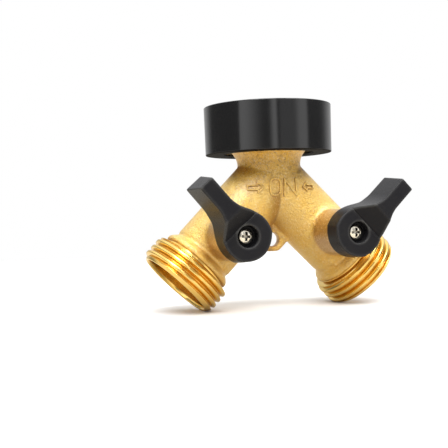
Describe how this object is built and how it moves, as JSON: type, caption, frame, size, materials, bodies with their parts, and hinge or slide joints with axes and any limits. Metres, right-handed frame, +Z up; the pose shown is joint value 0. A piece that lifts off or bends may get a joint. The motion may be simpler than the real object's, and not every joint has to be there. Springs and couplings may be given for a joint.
{
  "type": "hose splitter",
  "caption": "Brass Y-shaped garden hose splitter with a black swivel inlet collar and a quarter-turn lever valve on each outlet leg.",
  "frame": {"origin": "on the inlet axis, at the first crest of the inlet thread inside the swivel collar", "axes": "+Z up out of the inlet towards the tap, +X towards the right outlet seen from the lever side, -Y towards the levers"},
  "size_m": [0.0812, 0.0513, 0.0637],
  "materials": {
    "cast_brass": "sand blasted",
    "machined_brass": "machined, bright",
    "collar_plastic": "smooth moulded",
    "lever_plastic": "fine grain",
    "nickel": "nickel plated",
    "ring_steel": "bright spring steel",
    "ball_chrome": "polished plate",
    "seat_plastic": "white fluoropolymer",
    "rubber": "moulded"
  },
  "bodies": {
    "splitter_body": {"brass_body": "cast_brass", "left_outlet_end": "machined_brass", "right_outlet_end": "machined_brass", "collar_retaining_ring": "ring_steel", "inlet_washer": "rubber", "left_inner_seat": "seat_plastic", "left_outer_seat": "seat_plastic", "left_seat_retainer": "machined_brass", "right_inner_seat": "seat_plastic", "right_outer_seat": "seat_plastic", "right_seat_retainer": "machined_brass"},
    "inlet_collar": {"swivel_collar": "collar_plastic", "collar_thread_insert": "machined_brass"},
    "left_valve": {"left_lever": "lever_plastic", "left_lever_screw": "nickel", "left_lock_washer": "nickel", "left_stem": "machined_brass", "left_stem_o_rings": "rubber", "left_thrust_washer": "seat_plastic", "left_ball": "ball_chrome"},
    "right_valve": {"right_lever": "lever_plastic", "right_lever_screw": "nickel", "right_lock_washer": "nickel", "right_stem": "machined_brass", "right_stem_o_rings": "rubber", "right_thrust_washer": "seat_plastic", "right_ball": "ball_chrome"}
  },
  "joints": [
    {"name": "collar_swivel", "type": "hinge", "parent": "splitter_body", "child": "inlet_collar", "pos_m": [0, 0, 0], "axis": [0, 0, 1], "continuous": true},
    {"name": "left_valve_turn", "type": "hinge", "parent": "splitter_body", "child": "left_valve", "pos_m": [-0.01743, 0, -0.03993], "axis": [0, 1, 0], "range_deg": [-6, 85.5]},
    {"name": "right_valve_turn", "type": "hinge", "parent": "splitter_body", "child": "right_valve", "pos_m": [0.01743, 0, -0.03993], "axis": [0, -1, 0], "range_deg": [0, 91.5]}
  ]
}
